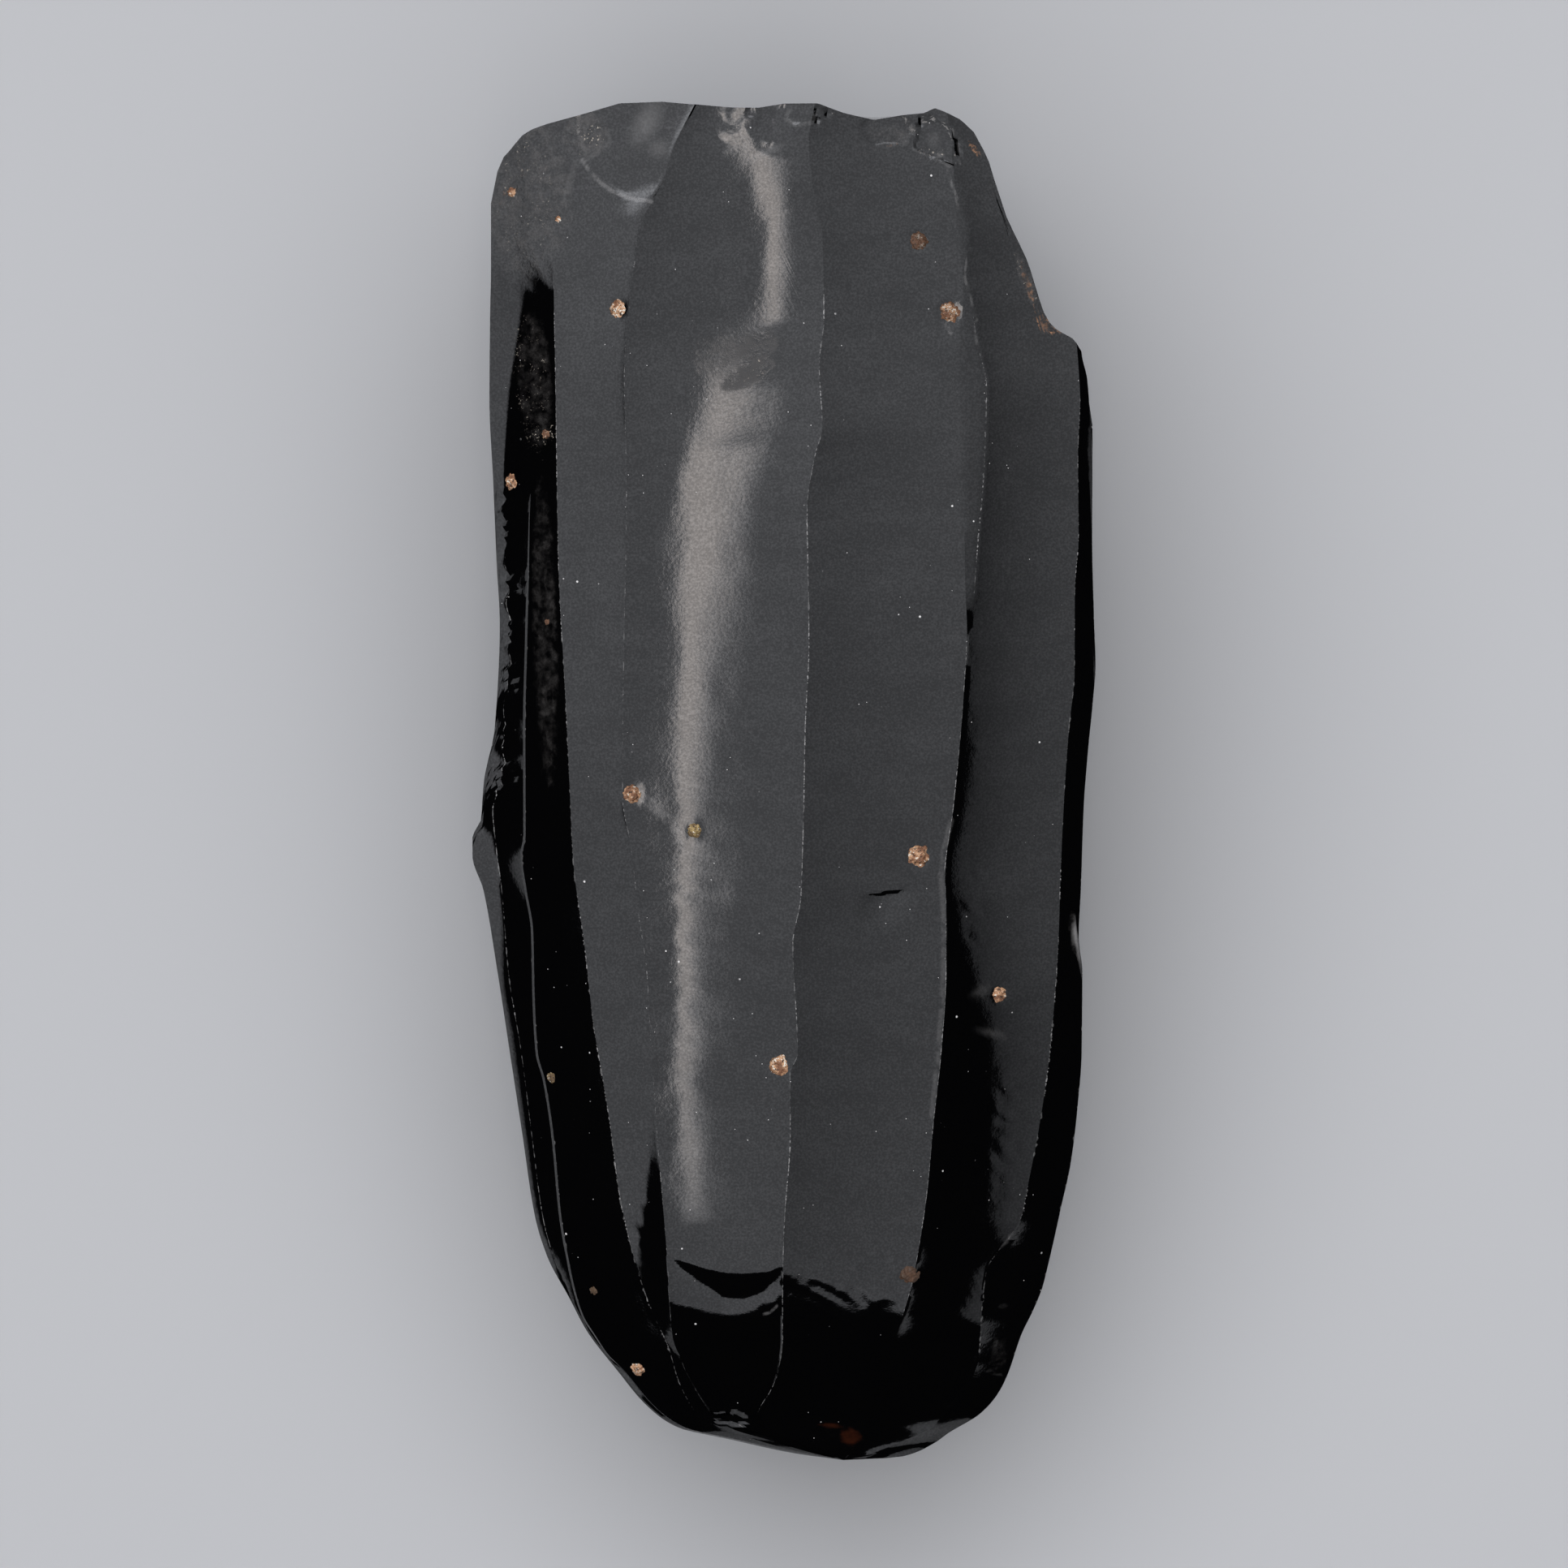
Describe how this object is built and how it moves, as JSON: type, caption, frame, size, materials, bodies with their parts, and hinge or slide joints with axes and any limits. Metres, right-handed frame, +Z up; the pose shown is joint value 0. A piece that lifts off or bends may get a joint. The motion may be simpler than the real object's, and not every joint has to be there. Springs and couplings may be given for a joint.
{
  "type": "obsidian blade core",
  "caption": "Boat-shaped core of black volcanic glass with long parallel blade scars down its face, a flat striking platform at one end and a blunt tip at the other.",
  "frame": {"origin": "in the plane of the flat scar that the core lies on, under the middle of its length and width", "axes": "+X to the right of the worked front, +Y from the tip to the striking platform, +Z up out of the worked front"},
  "size_m": [0.055, 0.12, 0.036],
  "materials": {
    "obsidian": "polished",
    "spherulite": "matte",
    "amber_spherulite": "satin"
  },
  "bodies": {
    "root": {"core_body": "obsidian", "spherulite_upper_left": "spherulite", "spherulite_upper_right": "spherulite", "spherulite_right_ridge": "spherulite", "spherulite_left_edge": "spherulite", "spherulite_middle_left": "spherulite", "spherulite_middle_right": "spherulite", "spherulite_right_scar": "spherulite", "spherulite_lower_ridge": "spherulite", "spherulite_lower_right": "spherulite", "spherulite_tip_left": "spherulite", "spherulite_left_corner": "spherulite", "spherulite_left_shoulder": "spherulite", "spherulite_left_scar": "spherulite", "spherulite_left_grains": "spherulite", "spherulite_back_1": "spherulite", "spherulite_back_2": "spherulite", "spherulite_back_3": "spherulite", "spherulite_back_4": "spherulite", "spherulite_back_5": "spherulite", "spherulite_middle_amber": "amber_spherulite", "spherulite_lower_amber": "amber_spherulite", "spherulite_tip_faint": "amber_spherulite"}
  },
  "joints": []
}
